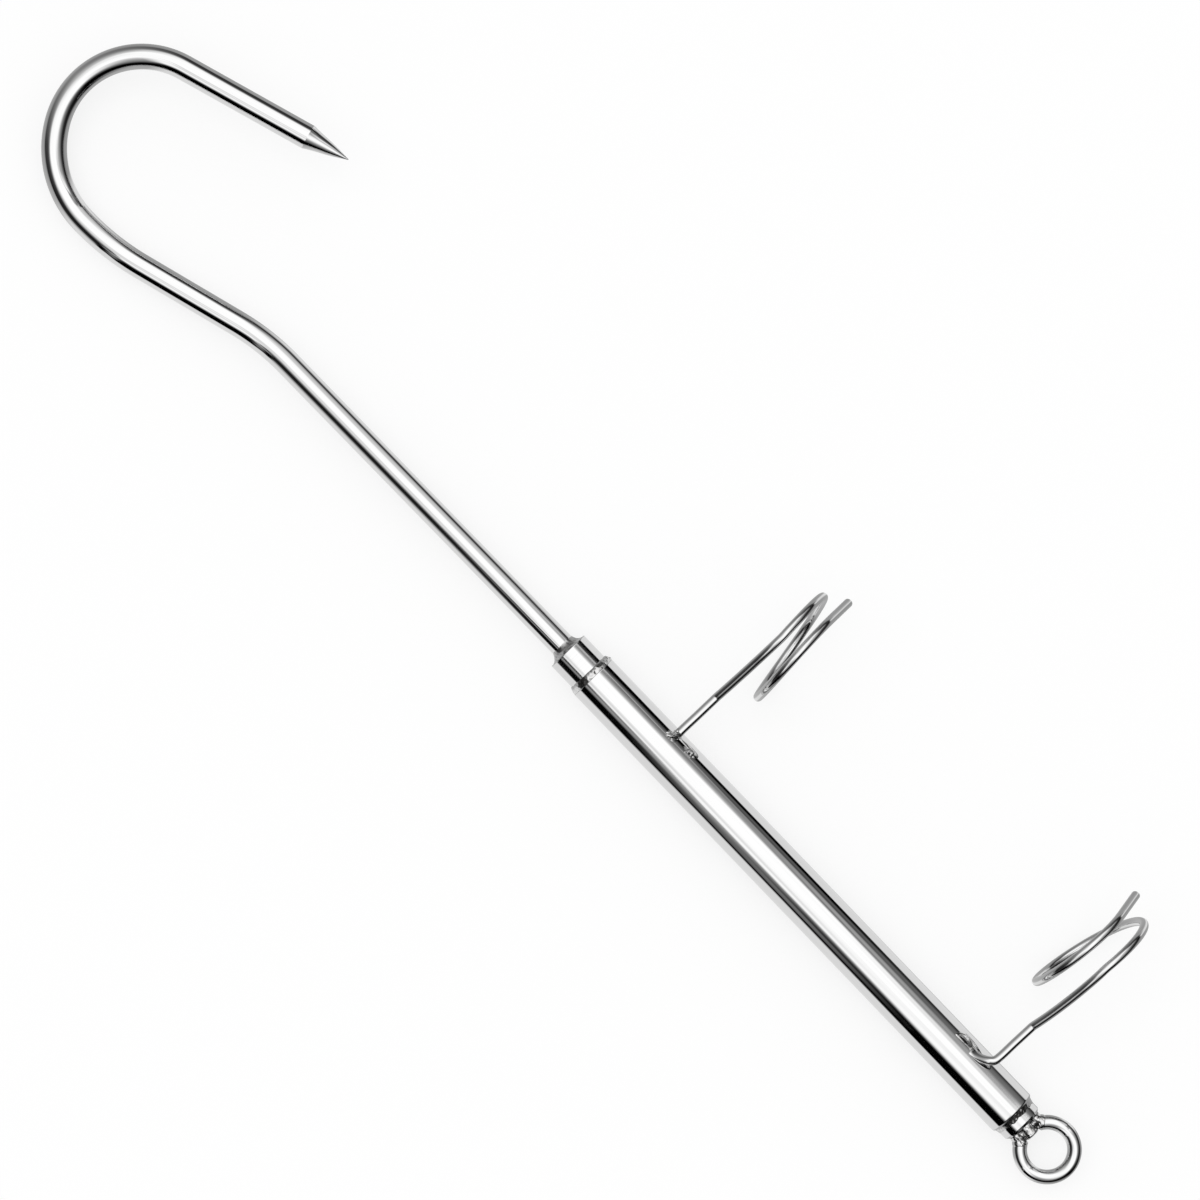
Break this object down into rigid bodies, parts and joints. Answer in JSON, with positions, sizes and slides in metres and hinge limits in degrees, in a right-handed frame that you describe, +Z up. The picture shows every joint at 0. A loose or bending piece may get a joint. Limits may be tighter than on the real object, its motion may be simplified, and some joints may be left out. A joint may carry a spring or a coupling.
{
  "type": "fishing gaff",
  "caption": "Sliding weighted cliff gaff: a round-bar hook in the mouth of a ballasted tube, with pigtail line guides along the tube and a rope eye at its tail.",
  "frame": {"origin": "middle of the gaff's length and width, on the surface that it lies on", "axes": "+X along the tube from the hook to the rope eye, +Y across the gaff on the side of the hook's point and the guides' coils, +Z up from the surface that the tube and a coil rest on"},
  "size_m": [0.5774, 0.1162, 0.0493],
  "materials": {
    "polished_tube": "polished",
    "polished_bar": "polished",
    "drawn_wire": "satin",
    "weld_metal": "satin",
    "ballast_lead": "matte"
  },
  "bodies": {
    "root": {"hook_rod": "polished_bar", "rod_collar": "polished_tube", "collar_rod_weld": "weld_metal", "tube_collar_weld": "weld_metal", "body_tube": "polished_tube", "ballast_weight": "ballast_lead", "tail_plug": "polished_tube", "tail_plug_weld": "weld_metal", "eye_stub": "polished_bar", "eye_ring": "polished_bar", "eye_weld_left": "weld_metal", "eye_weld_right": "weld_metal", "front_guide_wire": "drawn_wire", "front_guide_heel_weld": "weld_metal", "front_guide_toe_weld": "weld_metal", "rear_guide_wire": "drawn_wire", "rear_guide_heel_weld": "weld_metal", "rear_guide_toe_weld": "weld_metal"}
  },
  "joints": []
}
